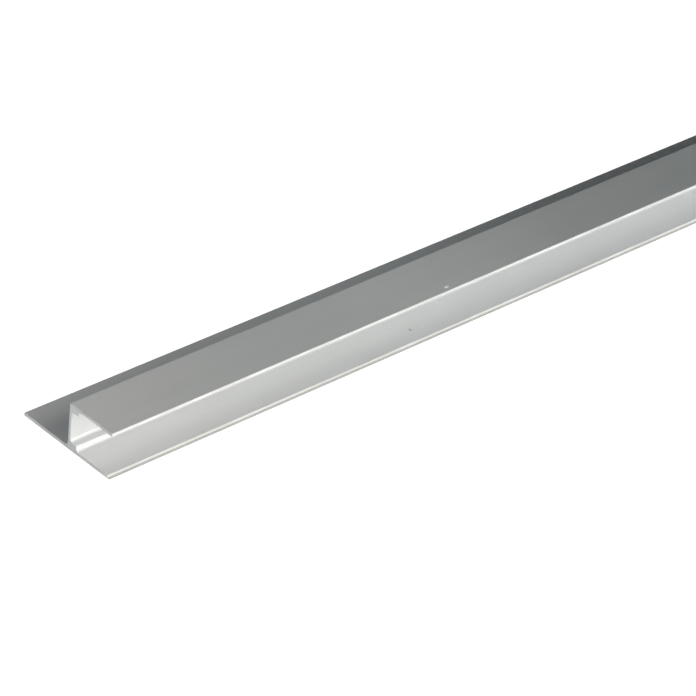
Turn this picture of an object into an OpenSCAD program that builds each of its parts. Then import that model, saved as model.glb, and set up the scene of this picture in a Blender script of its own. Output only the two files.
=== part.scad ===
// Aluminium extrusion profile of h-shaped section, cut square at both ends.
// The bar lies on its wide base flange along X. A web stands on the base, and a
// top leg runs forward from the web, so that a slot for a panel's edge opens to
// the front, towards -Y. Two low ribs fill the slot's inner corners and keep the
// panel off the web. The origin is the middle of the base's underside.

/* [Stock] */
// Length of the cut bar
bar_length = 1000; // [200:50:3000]

/* [Base flange] */
// Width of the base flange, from its rear edge to its front edge
base_width = 45; // [32:0.5:90]
// Wall of the base flange
base_wall = 1.2; // [0.8:0.1:3]

/* [Web] */
// Rear ledge of the base, from its rear edge to the rear face of the web
rear_ledge = 23.6; // [6:0.1:36]
// Wall of the web
web_wall = 1.2; // [0.8:0.1:3]

/* [Panel slot] */
// Clear height of the slot, a 16 mm panel with room to slide in
slot_height = 16.4; // [8:0.1:40]
// Depth of the slot, from the front face of the web to the front edge of the top leg
slot_depth = 21.2; // [8:0.1:60]
// Wall of the top leg
top_wall = 1.2; // [0.8:0.1:3]

/* [Slot ribs] */
// Reach of both ribs from the front face of the web
rib_reach = 3.4; // [1.5:0.1:6]
// Height of the ribs over the slot's floor and under its ceiling
rib_height = 2.1; // [1:0.1:3]
// Fillet between a rib and the web
rib_root_fillet = 1.2; // [0.2:0.1:1.5]
// Fillet between a rib's front and the slot's floor or ceiling
rib_foot_fillet = 1.5; // [0.2:0.1:2.5]
// Radius on the front edge of a rib
rib_edge_radius = 0.4; // [0.1:0.05:1]

/* [Corner radii] */
// Fillet behind the web, where it stands on the rear ledge
heel_fillet = 1.5; // [0.4:0.1:4]
// Outside radius where the web turns into the top leg
shoulder_radius = 0.8; // [0.2:0.1:2]
// Radius on the free long edges of the base and the top leg
edge_radius = 0.3; // [0.1:0.05:0.45]

/* [Hidden] */

// Facets of a full circle in the preview
$fn = 96;
// How far a cut reaches past the face that it opens
overrun = 0.5;
// How far a fillet runs into the walls that it joins
bite = 0.3;
// Largest edge radius as a share of the wall that carries it
edge_limit_share = 0.45;
// Least flat left between a rib's front edge and its fillets
least_flat = 0.1;

// Places across the bar, from the rear edge at +Y to the front edge at -Y
rear_y = base_width / 2;
front_y = -base_width / 2;
web_rear_y = rear_y - rear_ledge;
web_front_y = web_rear_y - web_wall;
rib_front_y = web_front_y - rib_reach;
leg_front_y = web_front_y - slot_depth;

// Heights above the base's underside
slot_floor_z = base_wall;
low_rib_z = slot_floor_z + rib_height;
slot_ceiling_z = slot_floor_z + slot_height;
high_rib_z = slot_ceiling_z - rib_height;
section_height = slot_ceiling_z + top_wall;

base_edge = min(edge_radius, edge_limit_share * base_wall);
leg_edge = min(edge_radius, edge_limit_share * top_wall);
rib_edge = min(rib_edge_radius, edge_limit_share * min(rib_reach, rib_height));
rib_root = min(rib_root_fillet, rib_reach - rib_edge - least_flat);
rib_foot = min(rib_foot_fillet, rib_height - rib_edge - least_flat);

// Quarter turns of a corner that faces rear and up, front and up, front and down, rear and down
rear_up = 0;
front_up = 90;
front_down = 180;
rear_down = 270;

// A flat strip of the section between two corners
module wall_strip(low, high) {
    translate(low)
        square(high - low);
}

// What a rounded outside corner leaves off, with the corner facing the given way
module outside_round(corner, radius, facing) {
    translate(corner)
        rotate(facing)
            translate([-radius, -radius])
                difference() {
                    square(radius + overrun);
                    circle(radius);
                }
}

// The metal that fills an inside corner, which opens the given way
module inside_fillet(corner, radius, opening) {
    translate(corner)
        rotate(opening)
            difference() {
                translate([-bite, -bite])
                    square(radius + bite);
                translate([radius, radius])
                    circle(radius);
            }
}

// The three walls with square corners
module square_walls() {
    wall_strip([front_y, 0], [rear_y, base_wall]);
    wall_strip([web_front_y, 0], [web_rear_y, section_height]);
    wall_strip([leg_front_y, slot_ceiling_z], [web_rear_y, section_height]);
}

// The two ribs with their fillets, still with square front edges
module slot_ribs() {
    wall_strip([rib_front_y, 0], [web_rear_y, low_rib_z]);
    wall_strip([rib_front_y, high_rib_z], [web_rear_y, section_height]);
    inside_fillet([web_front_y, low_rib_z], rib_root, front_up);
    inside_fillet([web_front_y, high_rib_z], rib_root, front_down);
    inside_fillet([rib_front_y, slot_floor_z], rib_foot, front_up);
    inside_fillet([rib_front_y, slot_ceiling_z], rib_foot, front_down);
}

// The h-shaped section, with Y to the right and Z up
module section() {
    difference() {
        union() {
            square_walls();
            slot_ribs();
            inside_fillet([web_rear_y, slot_floor_z], heel_fillet, rear_up);
        }
        outside_round([rib_front_y, low_rib_z], rib_edge, front_up);
        outside_round([rib_front_y, high_rib_z], rib_edge, front_down);
        outside_round([web_rear_y, section_height], shoulder_radius, rear_up);
        outside_round([rear_y, base_wall], base_edge, rear_up);
        outside_round([rear_y, 0], base_edge, rear_down);
        outside_round([front_y, base_wall], base_edge, front_up);
        outside_round([front_y, 0], base_edge, front_down);
        outside_round([leg_front_y, section_height], leg_edge, front_up);
        outside_round([leg_front_y, slot_ceiling_z], leg_edge, front_down);
    }
}

// The whole bar, extruded in one piece along X
module profile() {
    color([0.76, 0.77, 0.78])
        rotate([90, 0, 90])
            linear_extrude(height = bar_length, center = true)
                section();
}

profile();
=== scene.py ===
"""Looks of an aluminium extrusion profile: a sawn bar of h-shaped section on a pale studio floor.

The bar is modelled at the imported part's size and place, in metres, and stands for its one node.
"""
import math
from typing import NamedTuple

import bmesh
import bpy
from bpy.props import FloatProperty, FloatVectorProperty, PointerProperty
from bpy.types import NodeSocket, Operator, Panel, PropertyGroup
from mathutils import Matrix, Vector


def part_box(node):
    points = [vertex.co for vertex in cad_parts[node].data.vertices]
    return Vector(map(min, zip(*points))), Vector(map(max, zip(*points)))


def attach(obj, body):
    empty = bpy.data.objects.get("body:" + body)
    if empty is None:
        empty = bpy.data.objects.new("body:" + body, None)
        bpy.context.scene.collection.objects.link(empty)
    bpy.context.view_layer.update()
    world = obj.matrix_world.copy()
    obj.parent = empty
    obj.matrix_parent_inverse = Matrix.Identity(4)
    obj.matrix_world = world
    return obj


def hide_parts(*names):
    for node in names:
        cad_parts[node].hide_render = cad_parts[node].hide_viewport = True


bl_info = {
    "name": "Aluminium h-profile",
    "version": (1, 0, 0),
    "blender": (4, 5, 0),
    "location": "3D View > Sidebar > Profile",
    "description": "Models a sawn aluminium bar of h-shaped section and a pale studio around it",
    "category": "Object",
}

NODE = "profile"

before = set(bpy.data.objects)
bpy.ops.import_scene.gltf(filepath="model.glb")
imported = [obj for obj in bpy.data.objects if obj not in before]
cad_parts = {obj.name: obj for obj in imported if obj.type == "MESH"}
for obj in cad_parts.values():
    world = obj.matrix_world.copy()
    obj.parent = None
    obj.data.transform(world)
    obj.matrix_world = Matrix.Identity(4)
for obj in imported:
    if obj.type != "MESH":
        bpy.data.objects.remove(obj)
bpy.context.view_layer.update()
BAR_LOW, BAR_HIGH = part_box(NODE)

# Two places count as the same within this distance
NEAR = 1e-5
# A face looks along an axis where its normal's part on that axis is above this
FACING = 0.9
# Faces that turn by less than this are one flat face
FLAT_ANGLE = math.radians(1)
# Faces that turn by more than this meet in a sharp edge
SHARP_ANGLE = math.radians(40)

# Segments across each kind of rounded corner
FILLET_SEGMENTS = 10
SHOULDER_SEGMENTS = 8
RIB_EDGE_SEGMENTS = 6
EDGE_SEGMENTS = 5
END_BREAK_SEGMENTS = 2


class BarSection(PropertyGroup):
    """Sizes of the bar's section that its outer box doesn't give."""

    wall: FloatProperty(
        name="Wall",
        description="Wall of the base flange, the web and the top leg",
        default=0.0012,
        unit="LENGTH",
    )
    rear_ledge: FloatProperty(
        name="Rear ledge",
        description="From the base's rear edge to the rear face of the web",
        default=0.0236,
        unit="LENGTH",
    )
    leg_overhang: FloatProperty(
        name="Leg overhang",
        description="How far the top leg stands past the base's front edge",
        default=0.001,
        unit="LENGTH",
    )
    rib_reach: FloatProperty(
        name="Rib reach",
        description="How far the two ribs in the slot reach from the web",
        default=0.0034,
        unit="LENGTH",
    )
    rib_height: FloatProperty(
        name="Rib height",
        description="Height of the ribs over the slot's floor and under its ceiling",
        default=0.0021,
        unit="LENGTH",
    )
    rib_root_fillet: FloatProperty(
        name="Rib root fillet",
        description="Radius between a rib and the web",
        default=0.0012,
        unit="LENGTH",
    )
    rib_foot_fillet: FloatProperty(
        name="Rib foot fillet",
        description="Radius between a rib's front and the slot's floor or ceiling",
        default=0.0015,
        unit="LENGTH",
    )
    rib_edge_radius: FloatProperty(
        name="Rib edge radius",
        description="Radius on the front edge of a rib",
        default=0.0004,
        unit="LENGTH",
    )
    heel_fillet: FloatProperty(
        name="Heel fillet",
        description="Radius behind the web, where it stands on the rear ledge",
        default=0.0015,
        unit="LENGTH",
    )
    shoulder_radius: FloatProperty(
        name="Shoulder radius",
        description="Outside radius where the web turns into the top leg",
        default=0.0008,
        unit="LENGTH",
    )
    edge_radius: FloatProperty(
        name="Edge radius",
        description="Radius on the free long edges of the base and the top leg",
        default=0.0003,
        unit="LENGTH",
    )
    end_break: FloatProperty(
        name="End break",
        description="Width of the edge that the file leaves round each sawn end",
        default=0.0001,
        unit="LENGTH",
    )


class BarFinish(PropertyGroup):
    """Colours, gloss and fine relief of the metal."""

    metal: FloatVectorProperty(
        name="Metal",
        description="Colour of the extruded skin",
        default=(0.76, 0.77, 0.78),
        subtype="COLOR",
        min=0.0,
        max=1.0,
    )
    # The sawn colour is darker than the skin partly as bare sawn metal and partly as painted shade that
    # keeps the ends dark
    sawn: FloatVectorProperty(
        name="Sawn metal",
        description="Colour of the sawn ends",
        default=(0.44, 0.45, 0.45),
        subtype="COLOR",
        min=0.0,
        max=1.0,
    )
    bright: FloatVectorProperty(
        name="Bright metal",
        description="Colour of the scuff, the patch and the ding",
        default=(0.9, 0.9, 0.9),
        subtype="COLOR",
        min=0.0,
        max=1.0,
    )
    # Rubbed metal: partly handling wear, partly painted shade that dims the bright lines of the long edges
    rubbed: FloatVectorProperty(
        name="Rubbed metal",
        description="Colour of a long edge that handling has rubbed dull",
        default=(0.55, 0.55, 0.55),
        subtype="COLOR",
        min=0.0,
        max=1.0,
    )
    dirt: FloatVectorProperty(
        name="Dirt",
        description="Colour of what sits in a nick",
        default=(0.2, 0.2, 0.19),
        subtype="COLOR",
        min=0.0,
        max=1.0,
    )
    roughness: FloatProperty(
        name="Roughness",
        description="Roughness of the extruded skin",
        default=0.5,
        subtype="FACTOR",
        min=0.0,
        max=1.0,
    )
    anisotropy: FloatProperty(
        name="Anisotropy",
        description="How much rougher the skin is across the die's lines than along them",
        default=0.8,
        subtype="FACTOR",
        min=0.0,
        max=1.0,
    )
    sawn_roughness: FloatProperty(
        name="Sawn roughness",
        description="Roughness of the sawn ends",
        default=0.55,
        subtype="FACTOR",
        min=0.0,
        max=1.0,
    )
    line_pitch: FloatProperty(
        name="Line pitch",
        description="Spacing of the die's lines",
        default=0.0009,
        unit="LENGTH",
        precision=5,
    )
    line_depth: FloatProperty(
        name="Line depth",
        description="Depth of the die's lines",
        default=0.000002,
        unit="LENGTH",
        precision=7,
    )
    line_drift: FloatProperty(
        name="Line drift",
        description="How often the die's lines change over a metre of the bar",
        default=0.7,
        min=0.0,
    )
    grain_size: FloatProperty(
        name="Grain size",
        description="Size of the metal's fine grain",
        default=0.00015,
        unit="LENGTH",
        precision=6,
    )
    bloom_size: FloatProperty(
        name="Bloom size",
        description="Size of the clouds on the extruded skin",
        default=0.05,
        unit="LENGTH",
    )
    sawn_bloom_size: FloatProperty(
        name="Sawn bloom size",
        description="Size of the clouds on the sawn ends",
        default=0.006,
        unit="LENGTH",
    )
    saw_pitch: FloatProperty(
        name="Saw pitch",
        description="Spacing of the arcs that the saw blade leaves",
        default=0.0004,
        unit="LENGTH",
        precision=5,
    )
    saw_radius: FloatProperty(
        name="Saw radius",
        description="Radius of the saw blade",
        default=0.15,
        unit="LENGTH",
    )
    saw_offset: FloatProperty(
        name="Saw offset",
        description="How far in front of the base's middle the saw's axle stands",
        default=0.04,
        unit="LENGTH",
    )
    saw_depth: FloatProperty(
        name="Saw depth",
        description="Depth of the saw's arcs",
        default=0.000006,
        unit="LENGTH",
        precision=7,
    )
    rub_reach: FloatProperty(
        name="Rub reach",
        description="How far the rubbed metal reaches from a long edge",
        default=0.0009,
        unit="LENGTH",
        precision=5,
    )


class BarMarks(PropertyGroup):
    """Places and half sizes of the marks that handling has left on the bar."""

    nick_place: FloatVectorProperty(
        name="Nick place",
        description="Where a dark nick lies in the front flange",
        default=(-0.3525, -0.0159, 0.0012),
        subtype="XYZ",
        unit="LENGTH",
    )
    nick_size: FloatVectorProperty(
        name="Nick size",
        description="Half sizes of the nick",
        default=(0.0007, 0.0011, 0.0005),
        subtype="XYZ",
        unit="LENGTH",
    )
    scuff_place: FloatVectorProperty(
        name="Scuff place",
        description="Where a light scuff lies beside the nick",
        default=(-0.3475, -0.0172, 0.0012),
        subtype="XYZ",
        unit="LENGTH",
    )
    scuff_size: FloatVectorProperty(
        name="Scuff size",
        description="Half sizes of the scuff",
        default=(0.001, 0.0006, 0.0005),
        subtype="XYZ",
        unit="LENGTH",
    )
    patch_place: FloatVectorProperty(
        name="Patch place",
        description="Where a light patch lies on the top leg",
        default=(-0.342, -0.0213, 0.0188),
        subtype="XYZ",
        unit="LENGTH",
    )
    patch_size: FloatVectorProperty(
        name="Patch size",
        description="Half sizes of the patch",
        default=(0.0016, 0.0009, 0.0005),
        subtype="XYZ",
        unit="LENGTH",
    )
    ding_place: FloatVectorProperty(
        name="Ding place",
        description="Where a bright ding lies on the top leg's front edge",
        default=(-0.3455, -0.0235, 0.0176),
        subtype="XYZ",
        unit="LENGTH",
    )
    ding_size: FloatVectorProperty(
        name="Ding size",
        description="Half sizes of the ding",
        default=(0.0007, 0.0006, 0.0006),
        subtype="XYZ",
        unit="LENGTH",
    )


class StudioSettings(PropertyGroup):
    """Camera, floor and light."""

    camera_place: FloatVectorProperty(
        name="Camera place",
        description="Where the camera stands",
        default=(-1.1124, -0.7084, 0.6656),
        subtype="XYZ",
        unit="LENGTH",
    )
    camera_turn: FloatVectorProperty(
        name="Camera turn",
        description="Azimuth, elevation and roll of the view",
        default=(math.radians(-46.45), math.radians(33.31), math.radians(6.73)),
        subtype="EULER",
    )
    lens: FloatProperty(
        name="Lens",
        description="Focal length of the camera",
        default=174.2,
        unit="CAMERA",
    )
    sensor_width: FloatProperty(
        name="Sensor width",
        description="Width of the camera's sensor",
        default=36.0,
        unit="CAMERA",
    )
    view_reach: FloatProperty(
        name="View reach",
        description="How far the camera sees",
        default=100.0,
        unit="LENGTH",
    )
    floor_size: FloatProperty(
        name="Floor size",
        description="Side of the square studio floor",
        default=60.0,
        unit="LENGTH",
    )
    floor: FloatVectorProperty(
        name="Floor",
        description="Colour of the studio floor",
        default=(0.4, 0.4, 0.4),
        subtype="COLOR",
        min=0.0,
        max=1.0,
    )
    floor_glow: FloatProperty(
        name="Floor glow",
        description="Light that the floor adds to its own lit colour, so that it looks white",
        default=0.9,
        min=0.0,
        max=1.0,
    )
    # Painted contact shadow: how far around the bar the floor's glow is taken away
    contact_shadow_reach: FloatProperty(
        name="Contact reach",
        description="How far the dark of the contact with the floor reaches out from under the bar",
        default=0.0003,
        unit="LENGTH",
        precision=5,
    )
    horizon: FloatVectorProperty(
        name="Horizon",
        description="Colour of the pale backdrop, low all round",
        default=(0.66, 0.71, 0.72),
        subtype="COLOR",
        min=0.0,
        max=1.0,
    )
    room: FloatVectorProperty(
        name="Room",
        description="Colour of the dim room above the backdrop",
        default=(0.008, 0.016, 0.02),
        subtype="COLOR",
        min=0.0,
        max=1.0,
    )
    lamp_level: FloatProperty(
        name="Lamp level",
        description="Strength of all lamps together",
        default=1.0,
        min=0.0,
    )


class Lamp(NamedTuple):
    """A square soft lamp: where it stands as seen from the bar's near end, and how it shines.

    Azimuth 0 is in front of the bar, at -Y, and azimuth 90 is past its far end, at +X.
    """

    name: str
    azimuth: float
    elevation: float
    distance: float
    level: float
    colour: tuple


# Where all lamps aim, and the side of a lamp as a share of its distance
LAMP_AIM = Vector((-0.46, 0.0, 0.01))
LAMP_SIZE_SHARE = 0.45

# Distance of the large lamps, and their two tints
FAR = 2.2
WARM = (1.0, 0.96, 0.885)
COOL = (0.94, 1.0, 0.99)
LAMPS = (
    Lamp("front_lamp", azimuth=0, elevation=45, distance=FAR, level=0.95, colour=WARM),
    Lamp("low_lamp", azimuth=0, elevation=12, distance=FAR, level=0.08, colour=WARM),
    Lamp("left_lamp", azimuth=330, elevation=16, distance=FAR, level=0.255, colour=WARM),
    Lamp("right_lamp", azimuth=30, elevation=16, distance=FAR, level=0.255, colour=WARM),
    Lamp("side_left_lamp", azimuth=300, elevation=12, distance=FAR, level=0.19, colour=COOL),
    Lamp("side_right_lamp", azimuth=60, elevation=12, distance=FAR, level=0.19, colour=COOL),
    Lamp("end_lamp", azimuth=105, elevation=45, distance=0.43, level=0.03, colour=(0.95, 1.0, 0.99)),
    Lamp("back_lamp", azimuth=155, elevation=45, distance=0.4, level=0.05, colour=(1.0, 0.97, 0.95)),
)


def start_modelling():
    """Leaves nothing selected, so that an operator acts on the new piece only."""
    if bpy.context.mode != "OBJECT":
        bpy.ops.object.mode_set(mode="OBJECT")
    bpy.ops.object.select_all(action="DESELECT")


def pick_faces(piece, wanted):
    """Selects the faces of the piece in edit mode that the test wants."""
    mesh = bmesh.from_edit_mesh(piece.data)
    bpy.ops.mesh.select_mode(type="FACE")
    found = 0
    for face in mesh.faces:
        take = wanted(face.normal, face.calc_center_median())
        face.select_set(take)
        found += take
    mesh.select_flush_mode()
    bmesh.update_edit_mesh(piece.data)
    if not found:
        raise RuntimeError("no face lies where the next step needs one")


def pick_long_edge(piece, place_y, place_z):
    """Selects the edge that runs along the bar at the given place of its section."""
    mesh = bmesh.from_edit_mesh(piece.data)
    bpy.ops.mesh.select_mode(type="EDGE")
    found = 0
    for edge in mesh.edges:
        take = all(
            abs(v.co.y - place_y) < NEAR and abs(v.co.z - place_z) < NEAR for v in edge.verts
        )
        edge.select_set(take)
        found += take
    mesh.select_flush_mode()
    bmesh.update_edit_mesh(piece.data)
    if not found:
        raise RuntimeError(f"no long edge lies at y {place_y}, z {place_z}")


def pull_out(x, y, z):
    """Extrudes the selected faces by the given way."""
    bpy.ops.mesh.extrude_region_move(TRANSFORM_OT_translate={"value": (x, y, z)})


class SectionPlaces(NamedTuple):
    """Places of the section's faces across the bar and above the floor."""

    front_y: float
    rib_front_y: float
    web_front_y: float
    web_rear_y: float
    slot_floor_z: float
    low_rib_z: float
    high_rib_z: float
    slot_ceiling_z: float


def section_places(size):
    """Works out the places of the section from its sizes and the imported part's box."""
    web_rear_y = BAR_HIGH.y - size.rear_ledge
    web_front_y = web_rear_y - size.wall
    slot_floor_z = BAR_LOW.z + size.wall
    slot_ceiling_z = BAR_HIGH.z - size.wall
    return SectionPlaces(
        front_y=BAR_LOW.y + size.leg_overhang,
        rib_front_y=web_front_y - size.rib_reach,
        web_front_y=web_front_y,
        web_rear_y=web_rear_y,
        slot_floor_z=slot_floor_z,
        low_rib_z=slot_floor_z + size.rib_height,
        high_rib_z=slot_ceiling_z - size.rib_height,
        slot_ceiling_z=slot_ceiling_z,
    )


def add_base_flange(size, at):
    """Adds the base flange as a flat bar with square edges."""
    start_modelling()
    bpy.ops.mesh.primitive_cube_add(
        size=1,
        location=(
            (BAR_LOW.x + BAR_HIGH.x) / 2,
            (BAR_HIGH.y + at.front_y) / 2,
            BAR_LOW.z + size.wall / 2,
        ),
        scale=(BAR_HIGH.x - BAR_LOW.x, BAR_HIGH.y - at.front_y, size.wall),
    )
    bar = bpy.context.object
    bar.name = bar.data.name = "profile_bar"
    bpy.ops.object.transform_apply(location=True, rotation=True, scale=True)
    return bar


def pull_out_walls(bar, size, at):
    """Pulls the low rib, the web, the high rib and the top leg out of the base flange."""
    for cut_y in (at.rib_front_y, at.web_front_y, at.web_rear_y):
        bpy.ops.mesh.select_all(action="SELECT")
        bpy.ops.mesh.bisect(plane_co=(0, cut_y, 0), plane_no=(0, 1, 0))
    pick_faces(
        bar, lambda normal, middle: normal.z > FACING and at.rib_front_y < middle.y < at.web_rear_y
    )
    pull_out(0, 0, size.rib_height)
    pick_faces(
        bar, lambda normal, middle: normal.z > FACING and at.web_front_y < middle.y < at.web_rear_y
    )
    pull_out(0, 0, at.high_rib_z - at.low_rib_z)
    pull_out(0, 0, size.rib_height)
    pull_out(0, 0, size.wall)
    pick_faces(bar, lambda normal, middle: normal.y < -FACING and middle.z > at.high_rib_z)
    pull_out(0, -size.rib_reach, 0)
    pick_faces(bar, lambda normal, middle: normal.y < -FACING and middle.z > at.slot_ceiling_z)
    pull_out(0, BAR_LOW.y - at.rib_front_y, 0)
    bpy.ops.mesh.select_all(action="SELECT")
    bpy.ops.mesh.dissolve_limited(angle_limit=FLAT_ANGLE)


def round_long_edges(bar, size, at):
    """Gives each long edge and inner corner of the bar its radius."""
    rounds = (
        (at.web_front_y, at.low_rib_z, size.rib_root_fillet, FILLET_SEGMENTS),
        (at.web_front_y, at.high_rib_z, size.rib_root_fillet, FILLET_SEGMENTS),
        (at.rib_front_y, at.slot_floor_z, size.rib_foot_fillet, FILLET_SEGMENTS),
        (at.rib_front_y, at.slot_ceiling_z, size.rib_foot_fillet, FILLET_SEGMENTS),
        (at.rib_front_y, at.low_rib_z, size.rib_edge_radius, RIB_EDGE_SEGMENTS),
        (at.rib_front_y, at.high_rib_z, size.rib_edge_radius, RIB_EDGE_SEGMENTS),
        (at.web_rear_y, at.slot_floor_z, size.heel_fillet, FILLET_SEGMENTS),
        (at.web_rear_y, BAR_HIGH.z, size.shoulder_radius, SHOULDER_SEGMENTS),
        (BAR_HIGH.y, at.slot_floor_z, size.edge_radius, EDGE_SEGMENTS),
        (BAR_HIGH.y, BAR_LOW.z, size.edge_radius, EDGE_SEGMENTS),
        (at.front_y, at.slot_floor_z, size.edge_radius, EDGE_SEGMENTS),
        (at.front_y, BAR_LOW.z, size.edge_radius, EDGE_SEGMENTS),
        (BAR_LOW.y, BAR_HIGH.z, size.edge_radius, EDGE_SEGMENTS),
        (BAR_LOW.y, at.slot_ceiling_z, size.edge_radius, EDGE_SEGMENTS),
    )
    for place_y, place_z, radius, segments in rounds:
        pick_long_edge(bar, place_y, place_z)
        bpy.ops.mesh.bevel(offset=radius, segments=segments, affect="EDGES", clamp_overlap=False)


def break_ends(bar, size):
    """Breaks the rim of both sawn ends, as a file does."""
    pick_faces(bar, lambda normal, middle: abs(normal.x) > FACING)
    bpy.ops.mesh.region_to_loop()
    bpy.ops.mesh.bevel(
        offset=size.end_break, segments=END_BREAK_SEGMENTS, affect="EDGES", clamp_overlap=False
    )


def smooth_rounds(bar):
    """Shades the rounded corners smooth and the flat faces flat."""
    bpy.ops.object.shade_smooth_by_angle(angle=SHARP_ANGLE)
    bpy.ops.object.modifier_add(type="WEIGHTED_NORMAL")
    bpy.ops.object.modifier_apply(modifier=bar.modifiers[-1].name)


class PROFILE_OT_bar(Operator):
    """Model the sawn bar with its fillets and rounded edges"""

    bl_idname = "profile.bar"
    bl_label = "Bar"

    def execute(self, context):
        scene = context.scene
        size = scene.bar_section
        at = section_places(size)
        bar = add_base_flange(size, at)
        bpy.ops.object.mode_set(mode="EDIT")
        pull_out_walls(bar, size, at)
        round_long_edges(bar, size, at)
        break_ends(bar, size)
        bpy.ops.mesh.select_all(action="SELECT")
        bpy.ops.mesh.normals_make_consistent(inside=False)
        bpy.ops.object.mode_set(mode="OBJECT")
        smooth_rounds(bar)

        long_edges = (
            (0, at.front_y, BAR_LOW.z + size.wall / 2),
            (0, BAR_HIGH.y, BAR_LOW.z + size.wall / 2),
            (0, BAR_LOW.y, BAR_HIGH.z - size.wall / 2),
            (0, at.web_rear_y, BAR_HIGH.z),
        )
        effects = make_effects()
        bar.data.materials.append(extruded_skin(scene.bar_finish, scene.bar_marks, long_edges, effects))
        bar.data.materials.append(sawn_metal(scene.bar_finish, effects))
        for face in bar.data.polygons:
            face.material_index = int(abs(face.normal.x) > FACING)
        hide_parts(NODE)
        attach(bar, "root")
        return {"FINISHED"}


def add_node(tree, kind, inputs=None, **settings):
    """Adds a node, whose inputs take plain values or the outputs of other nodes."""
    made = tree.nodes.new(kind)
    for name, value in settings.items():
        setattr(made, name, value)
    for name, value in (inputs or {}).items():
        if isinstance(value, NodeSocket):
            tree.links.new(value, made.inputs[name])
        else:
            made.inputs[name].default_value = value
    return made


def work_out(tree, operation, *values):
    """The output of a Math node."""
    return add_node(tree, "ShaderNodeMath", dict(enumerate(values)), operation=operation).outputs[0]


def work_out_vector(tree, operation, *values):
    """The output of a Vector Math node: a value for a length, else a vector."""
    made = add_node(tree, "ShaderNodeVectorMath", dict(enumerate(values)), operation=operation)
    return made.outputs["Value" if operation == "LENGTH" else "Vector"]


def spread(tree, value, low, high, to_low=0.0, to_high=1.0):
    """The value moved smoothly from one range to another, and held there."""
    limits = {"From Min": low, "From Max": high, "To Min": to_low, "To Max": to_high}
    made = add_node(
        tree, "ShaderNodeMapRange", {"Value": value, **limits}, interpolation_type="SMOOTHSTEP"
    )
    return made.outputs["Result"]


def blend(tree, share, first, second):
    """The colour between two colours."""
    made = add_node(tree, "ShaderNodeMix", {0: share, 6: first, 7: second}, data_type="RGBA")
    return made.outputs[2]


def new_effect(name, inputs, output):
    """A node group with named inputs and one value output, the sockets inside it and Object coordinates."""
    tree = bpy.data.node_groups.new(name, "ShaderNodeTree")
    for socket, kind in inputs.items():
        tree.interface.new_socket(socket, in_out="INPUT", socket_type=kind)
    tree.interface.new_socket(output, in_out="OUTPUT", socket_type="NodeSocketFloat")
    given = tree.nodes.new("NodeGroupInput").outputs
    result = tree.nodes.new("NodeGroupOutput").inputs[output]
    place = tree.nodes.new("ShaderNodeTexCoord").outputs["Object"]
    return tree, given, result, place


def use_effect(tree, effect, **inputs):
    """The output of an effect placed in a material with its own values."""
    made = add_node(tree, "ShaderNodeGroup", node_tree=effect)
    for name, value in inputs.items():
        made.inputs[name.capitalize()].default_value = value
    return made.outputs[0]


def die_lines():
    """Lines drawn along the bar by the die, nearly straight over its whole length."""
    sockets = {"Pitch": "NodeSocketFloat", "Drift": "NodeSocketFloat"}
    tree, given, result, place = new_effect("die_lines", sockets, "Lines")
    count = work_out(tree, "DIVIDE", 1.0, given["Pitch"])
    stretch = add_node(tree, "ShaderNodeCombineXYZ", {"X": given["Drift"], "Y": count, "Z": count})
    drawn = work_out_vector(tree, "MULTIPLY", place, stretch.outputs["Vector"])
    noise = add_node(
        tree, "ShaderNodeTexNoise", {"Vector": drawn, "Scale": 1.0, "Detail": 3.0, "Roughness": 0.6}
    )
    tree.links.new(spread(tree, noise.outputs[0], low=0.25, high=0.75), result)
    return tree


def cloudy_bloom():
    """Faint cloudiness of the oxide on the metal."""
    tree, given, result, place = new_effect("cloudy_bloom", {"Size": "NodeSocketFloat"}, "Bloom")
    scale = work_out(tree, "DIVIDE", 1.0, given["Size"])
    noise = add_node(
        tree,
        "ShaderNodeTexNoise",
        {"Vector": place, "Scale": scale, "Detail": 4.0, "Roughness": 0.55, "Distortion": 0.4},
    )
    tree.links.new(spread(tree, noise.outputs[0], low=0.3, high=0.7), result)
    return tree


def fine_grain():
    """Fine even grain of the metal."""
    tree, given, result, place = new_effect("fine_grain", {"Size": "NodeSocketFloat"}, "Grain")
    scale = work_out(tree, "DIVIDE", 1.0, given["Size"])
    noise = add_node(tree, "ShaderNodeTexNoise", {"Vector": place, "Scale": scale, "Detail": 2.0})
    tree.links.new(noise.outputs[0], result)
    return tree


def ragged_spot():
    """A small spot with a ragged rim at one place of the bar."""
    sockets = {"Place": "NodeSocketVector", "Size": "NodeSocketVector", "Ragged": "NodeSocketFloat"}
    tree, given, result, place = new_effect("ragged_spot", sockets, "Spot")
    away = work_out_vector(tree, "SUBTRACT", place, given["Place"])
    share = work_out_vector(tree, "DIVIDE", away, given["Size"])
    noise = add_node(tree, "ShaderNodeTexNoise", {"Vector": share, "Scale": 1.6, "Detail": 3.0})
    swing = work_out(tree, "SUBTRACT", noise.outputs[0], 0.5)
    rim = work_out(tree, "MULTIPLY", swing, given["Ragged"])
    distance = work_out(tree, "ADD", work_out_vector(tree, "LENGTH", share), rim)
    tree.links.new(spread(tree, distance, low=0.4, high=1.0, to_low=1.0, to_high=0.0), result)
    return tree


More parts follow.
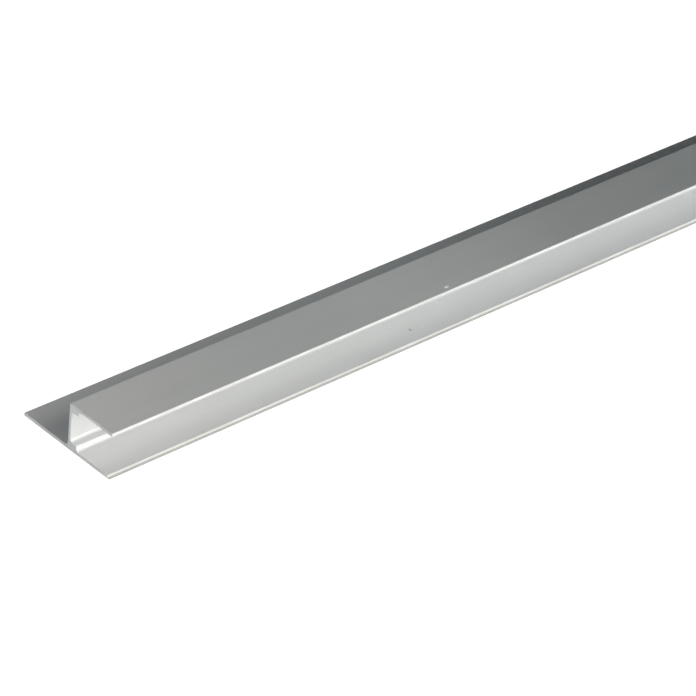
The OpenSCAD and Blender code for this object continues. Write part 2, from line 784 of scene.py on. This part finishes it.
def edge_rub_and_shade():
    """Metal darkened along a long edge, more in some stretches than in others: partly handling wear, partly
    painted shade that dims the edge's bright lit line.
    """
    sockets = {"Edge": "NodeSocketVector", "Reach": "NodeSocketFloat"}
    tree, given, result, place = new_effect("edge_rub_and_shade", sockets, "Rub")
    away = work_out_vector(tree, "SUBTRACT", place, given["Edge"])
    across = work_out_vector(tree, "MULTIPLY", away, (0.0, 1.0, 1.0))
    distance = work_out(tree, "DIVIDE", work_out_vector(tree, "LENGTH", across), given["Reach"])
    near = spread(tree, distance, low=0.6, high=1.0, to_low=1.0, to_high=0.0)
    noise = add_node(tree, "ShaderNodeTexNoise", {"Vector": place, "Scale": 60.0, "Detail": 5.0})
    broken = spread(tree, noise.outputs[0], low=0.3, high=0.6, to_low=0.35, to_high=1.0)
    tree.links.new(work_out(tree, "MULTIPLY", near, broken), result)
    return tree


def make_effects():
    """The node groups that the materials share, each built once."""
    return {
        "lines": die_lines(),
        "bloom": cloudy_bloom(),
        "grain": fine_grain(),
        "spot": ragged_spot(),
        "rub_and_shade": edge_rub_and_shade(),
    }


def new_material(name):
    """A material, its nodes and its Principled shader."""
    material = bpy.data.materials.new(name)
    material.use_nodes = True
    return material, material.node_tree, material.node_tree.nodes["Principled BSDF"]


def shade(colour, factor=1.0):
    """The colour made darker or lighter, with full alpha."""
    return (*(min(part * factor, 1.0) for part in colour), 1.0)


# What the skin's tone is mixed from, and how far its colour and roughness swing with it
LINE_TONE_SHARE = 0.7
BLOOM_TONE_SHARE = 0.3
SKIN_TONE_SWING = 0.02
SKIN_ROUGHNESS_SWING = 0.015
# How much of their own colour the rubbed edges, the light marks and the nick take on; the rubbed edges'
# darker colour is partly wear and partly painted shade
RUB_AND_SHADE_COLOUR_SHARE = 0.55
LIGHT_COLOUR_SHARE = 0.8
NICK_COLOUR_SHARE = 0.45
# How much rougher than the skin the rubbed edges and the light marks are
RUB_ROUGHENING = 0.12
LIGHT_ROUGHENING = 0.25
# Height of the grain and depth of the nick, in depths of a die's line
GRAIN_HEIGHT = 0.2
NICK_DEPTH = 20.0


def extruded_skin(finish, marks, long_edges, effects):
    """The satin skin that the die leaves, with its lines, marks of handling and long edges darkened partly
    by rubbing and partly by painted shade.
    """
    material, tree, shader = new_material("satin_extruded_aluminium")
    lines = use_effect(tree, effects["lines"], pitch=finish.line_pitch, drift=finish.line_drift)
    bloom = use_effect(tree, effects["bloom"], size=finish.bloom_size)
    grain = use_effect(tree, effects["grain"], size=finish.grain_size)
    rub_and_shade = 0.0
    for edge in long_edges:
        one = use_effect(tree, effects["rub_and_shade"], edge=edge, reach=finish.rub_reach)
        rub_and_shade = work_out(tree, "MAXIMUM", rub_and_shade, one)
    spot = effects["spot"]
    nick = use_effect(tree, spot, place=marks.nick_place, size=marks.nick_size, ragged=0.5)
    scuff = use_effect(tree, spot, place=marks.scuff_place, size=marks.scuff_size, ragged=1.0)
    patch = use_effect(tree, spot, place=marks.patch_place, size=marks.patch_size, ragged=0.9)
    ding = use_effect(tree, spot, place=marks.ding_place, size=marks.ding_size, ragged=0.6)
    light = work_out(tree, "MAXIMUM", scuff, work_out(tree, "MAXIMUM", patch, ding))
    light = work_out(tree, "MULTIPLY", light, LIGHT_COLOUR_SHARE)

    clouds = work_out(tree, "MULTIPLY", bloom, BLOOM_TONE_SHARE)
    tone = work_out(tree, "MULTIPLY_ADD", lines, LINE_TONE_SHARE, clouds)
    darkest = shade(finish.metal, 1 - SKIN_TONE_SWING)
    lightest = shade(finish.metal, 1 + SKIN_TONE_SWING)
    colour = blend(tree, tone, darkest, lightest)
    # Painted shade and wear: the long edges are darkened towards the rubbed colour
    rub_and_shade_share = work_out(tree, "MULTIPLY", rub_and_shade, RUB_AND_SHADE_COLOUR_SHARE)
    colour = blend(tree, rub_and_shade_share, colour, shade(finish.rubbed))
    colour = blend(tree, light, colour, shade(finish.bright))
    dirt_share = work_out(tree, "MULTIPLY", nick, NICK_COLOUR_SHARE)
    colour = blend(tree, dirt_share, colour, shade(finish.dirt))
    tree.links.new(colour, shader.inputs["Base Color"])

    smoothest = finish.roughness - SKIN_ROUGHNESS_SWING
    roughest = finish.roughness + SKIN_ROUGHNESS_SWING
    rough = spread(tree, tone, low=0.0, high=1.0, to_low=smoothest, to_high=roughest)
    rough = work_out(tree, "MULTIPLY_ADD", rub_and_shade, RUB_ROUGHENING, rough)
    rough = work_out(tree, "MULTIPLY_ADD", light, LIGHT_ROUGHENING, rough)
    tree.links.new(rough, shader.inputs["Roughness"])

    relief = work_out(tree, "MULTIPLY_ADD", grain, GRAIN_HEIGHT, lines)
    relief = work_out(tree, "MULTIPLY_ADD", nick, -NICK_DEPTH, relief)
    bump = add_node(tree, "ShaderNodeBump", {"Height": relief, "Distance": finish.line_depth})
    tree.links.new(bump.outputs["Normal"], shader.inputs["Normal"])

    across = add_node(tree, "ShaderNodeTangent", direction_type="RADIAL", axis="X")
    tree.links.new(across.outputs["Tangent"], shader.inputs["Tangent"])
    shader.inputs["Anisotropic"].default_value = finish.anisotropy
    shader.inputs["Metallic"].default_value = 1.0
    return material


# Spacing of a Wave texture's rings at a scale of 1
WAVE_SPACING = math.pi / 10
# What the sawn metal's tone is mixed from, and how far its colour and roughness swing with it
ARC_TONE_SHARE = 0.5
SAWN_BLOOM_TONE_SHARE = 0.5
SAWN_DARKEST = 0.93
SAWN_LIGHTEST = 1.05
SAWN_ROUGHNESS_SWING = 0.06
# Height of the grain on a sawn end, in depths of the saw's arcs
SAWN_GRAIN_HEIGHT = 0.4


def sawn_metal(finish, effects):
    """The bare metal of a sawn end, with the arcs that the blade leaves. Its dark colour is partly the sawn
    metal and partly painted shade on the ends.
    """
    material, tree, shader = new_material("sawn_aluminium")
    grain = use_effect(tree, effects["grain"], size=finish.grain_size)
    bloom = use_effect(tree, effects["bloom"], size=finish.sawn_bloom_size)
    place = add_node(tree, "ShaderNodeTexCoord").outputs["Object"]
    from_axle = add_node(
        tree,
        "ShaderNodeMapping",
        {"Vector": place, "Location": (0.0, finish.saw_offset, finish.saw_radius)},
    )
    arcs = add_node(
        tree,
        "ShaderNodeTexWave",
        {
            "Vector": from_axle.outputs["Vector"],
            "Scale": WAVE_SPACING / finish.saw_pitch,
            "Distortion": 1.5,
            "Detail": 3.0,
            "Detail Scale": 2.0,
        },
        wave_type="RINGS",
        rings_direction="X",
    ).outputs["Fac"]

    clouds = work_out(tree, "MULTIPLY", bloom, SAWN_BLOOM_TONE_SHARE)
    tone = work_out(tree, "MULTIPLY_ADD", arcs, ARC_TONE_SHARE, clouds)
    # The ends' dark colour is partly painted shade
    colour = blend(tree, tone, shade(finish.sawn, SAWN_DARKEST), shade(finish.sawn, SAWN_LIGHTEST))
    tree.links.new(colour, shader.inputs["Base Color"])
    smoothest = finish.sawn_roughness - SAWN_ROUGHNESS_SWING
    roughest = finish.sawn_roughness + SAWN_ROUGHNESS_SWING
    rough = spread(tree, tone, low=0.0, high=1.0, to_low=roughest, to_high=smoothest)
    tree.links.new(rough, shader.inputs["Roughness"])
    relief = work_out(tree, "MULTIPLY_ADD", grain, SAWN_GRAIN_HEIGHT, arcs)
    bump = add_node(tree, "ShaderNodeBump", {"Height": relief, "Distance": finish.saw_depth})
    tree.links.new(bump.outputs["Normal"], shader.inputs["Normal"])
    shader.inputs["Metallic"].default_value = 1.0
    return material


def white_floor(studio):
    """A pale matt floor that looks white to the eye and in the metal, and keeps a shadow.

    Its glow ends under the bar and just around it, which paints a thin contact shadow along the bar's foot.
    """
    material, tree, shader = new_material("studio_floor")
    shader.inputs["Base Color"].default_value = shade(studio.floor)
    shader.inputs["Roughness"].default_value = 1.0
    shader.inputs["Specular IOR Level"].default_value = 0.0
    path = add_node(tree, "ShaderNodeLightPath").outputs
    seen = work_out(tree, "MAXIMUM", path["Is Camera Ray"], path["Is Glossy Ray"])
    seen = work_out(tree, "MAXIMUM", seen, path["Is Transmission Ray"])

    middle = (BAR_LOW + BAR_HIGH) / 2
    place = add_node(tree, "ShaderNodeTexCoord").outputs["Object"]
    from_middle = work_out_vector(tree, "SUBTRACT", place, (middle.x, middle.y, 0.0))
    away = work_out_vector(tree, "ABSOLUTE", from_middle)
    half_bar = (BAR_HIGH.x - middle.x, BAR_HIGH.y - middle.y, 0.0)
    outside = work_out_vector(tree, "SUBTRACT", away, half_bar)
    sides = add_node(tree, "ShaderNodeSeparateXYZ", {0: outside}).outputs
    distance = work_out(tree, "MAXIMUM", sides["X"], sides["Y"])
    # Painted contact shadow: the glow falls away under the bar and within the contact reach of it, so the
    # floor shows dark there
    outside_painted_contact_shadow = spread(tree, distance, low=-studio.contact_shadow_reach, high=studio.contact_shadow_reach)
    seen_floor = work_out(tree, "MULTIPLY", seen, outside_painted_contact_shadow)
    glow = work_out(tree, "MULTIPLY", seen_floor, studio.floor_glow)
    shader.inputs["Emission Color"].default_value = (1.0, 1.0, 1.0, 1.0)
    tree.links.new(glow, shader.inputs["Emission Strength"])
    return material


# How steeply a view looks up, from 0 for level to 1 for straight up, where the backdrop
# begins to fade and where only the room is left
BACKDROP_TOP = 0.1
ROOM_BOTTOM = 0.25


def studio_room(studio):
    """The world: a pale backdrop low all round, and a dim room above it."""
    world = bpy.data.worlds.new("studio_room")
    world.use_nodes = True
    tree = world.node_tree
    direction = add_node(tree, "ShaderNodeTexCoord").outputs["Generated"]
    height = add_node(tree, "ShaderNodeSeparateXYZ", {0: direction}).outputs["Z"]
    above = spread(tree, height, low=BACKDROP_TOP, high=ROOM_BOTTOM)
    colour = blend(tree, above, shade(studio.horizon), shade(studio.room))
    tree.links.new(colour, tree.nodes["Background"].inputs["Color"])
    return world


def add_lamp(lamp, level):
    """Adds a soft lamp. At level 1 it lights a white card that faces it to white."""
    azimuth = math.radians(lamp.azimuth)
    elevation = math.radians(lamp.elevation)
    back = Vector(
        (
            math.sin(azimuth) * math.cos(elevation),
            -math.cos(azimuth) * math.cos(elevation),
            math.sin(elevation),
        )
    )
    bpy.ops.object.light_add(type="AREA", location=LAMP_AIM + back * lamp.distance)
    made = bpy.context.object
    made.name = lamp.name
    made.rotation_euler = back.to_track_quat("Z", "Y").to_euler()
    made.data.size = LAMP_SIZE_SHARE * lamp.distance
    made.data.energy = level * lamp.level * (math.pi * lamp.distance) ** 2
    made.data.color = lamp.colour
    made.visible_camera = False


def add_camera(studio):
    """Adds the camera at the photograph's viewing angle."""
    bpy.ops.object.camera_add(location=studio.camera_place)
    camera = bpy.context.object
    camera.name = "photo_camera"
    azimuth, elevation, roll = studio.camera_turn
    turn = (
        Matrix.Rotation(azimuth, 3, "Z")
        @ Matrix.Rotation(math.pi / 2 - elevation, 3, "X")
        @ Matrix.Rotation(roll, 3, "Z")
    )
    camera.rotation_euler = turn.to_euler()
    camera.data.sensor_width = studio.sensor_width
    camera.data.lens = studio.lens
    camera.data.clip_end = studio.view_reach
    return camera


class PROFILE_OT_studio(Operator):
    """Set the pale floor, the soft lamps and the camera"""

    bl_idname = "profile.studio"
    bl_label = "Studio"

    def execute(self, context):
        studio = context.scene.studio
        context.scene.view_settings.view_transform = "Standard"

        start_modelling()
        bpy.ops.mesh.primitive_plane_add(size=studio.floor_size, location=(0, 0, BAR_LOW.z))
        floor = context.object
        floor.name = "studio_floor"
        floor.data.materials.append(white_floor(studio))

        context.scene.world = studio_room(studio)
        for lamp in LAMPS:
            add_lamp(lamp, studio.lamp_level)
        context.scene.camera = add_camera(studio)
        return {"FINISHED"}


SETTINGS = {
    "bar_section": BarSection,
    "bar_finish": BarFinish,
    "bar_marks": BarMarks,
    "studio": StudioSettings,
}
STEPS = (PROFILE_OT_bar, PROFILE_OT_studio)


class PROFILE_PT_panel(Panel):
    """Lists the steps that make the bar and its studio."""

    bl_idname = "PROFILE_PT_panel"
    bl_label = "Aluminium h-profile"
    bl_space_type = "VIEW_3D"
    bl_region_type = "UI"
    bl_category = "Profile"

    def draw(self, context):
        for step in STEPS:
            self.layout.operator(step.bl_idname)
        for group in SETTINGS:
            settings = getattr(context.scene, group)
            box = self.layout.box()
            for name in settings.__annotations__:
                box.prop(settings, name)


CLASSES = (*SETTINGS.values(), *STEPS, PROFILE_PT_panel)


def register():
    for made in CLASSES:
        bpy.utils.register_class(made)
    for group, kind in SETTINGS.items():
        setattr(bpy.types.Scene, group, PointerProperty(type=kind))


def unregister():
    for group in SETTINGS:
        delattr(bpy.types.Scene, group)
    for made in reversed(CLASSES):
        bpy.utils.unregister_class(made)


def main():
    register()
    bpy.ops.profile.bar()
    bpy.ops.profile.studio()


if __name__ == "__main__":
    main()
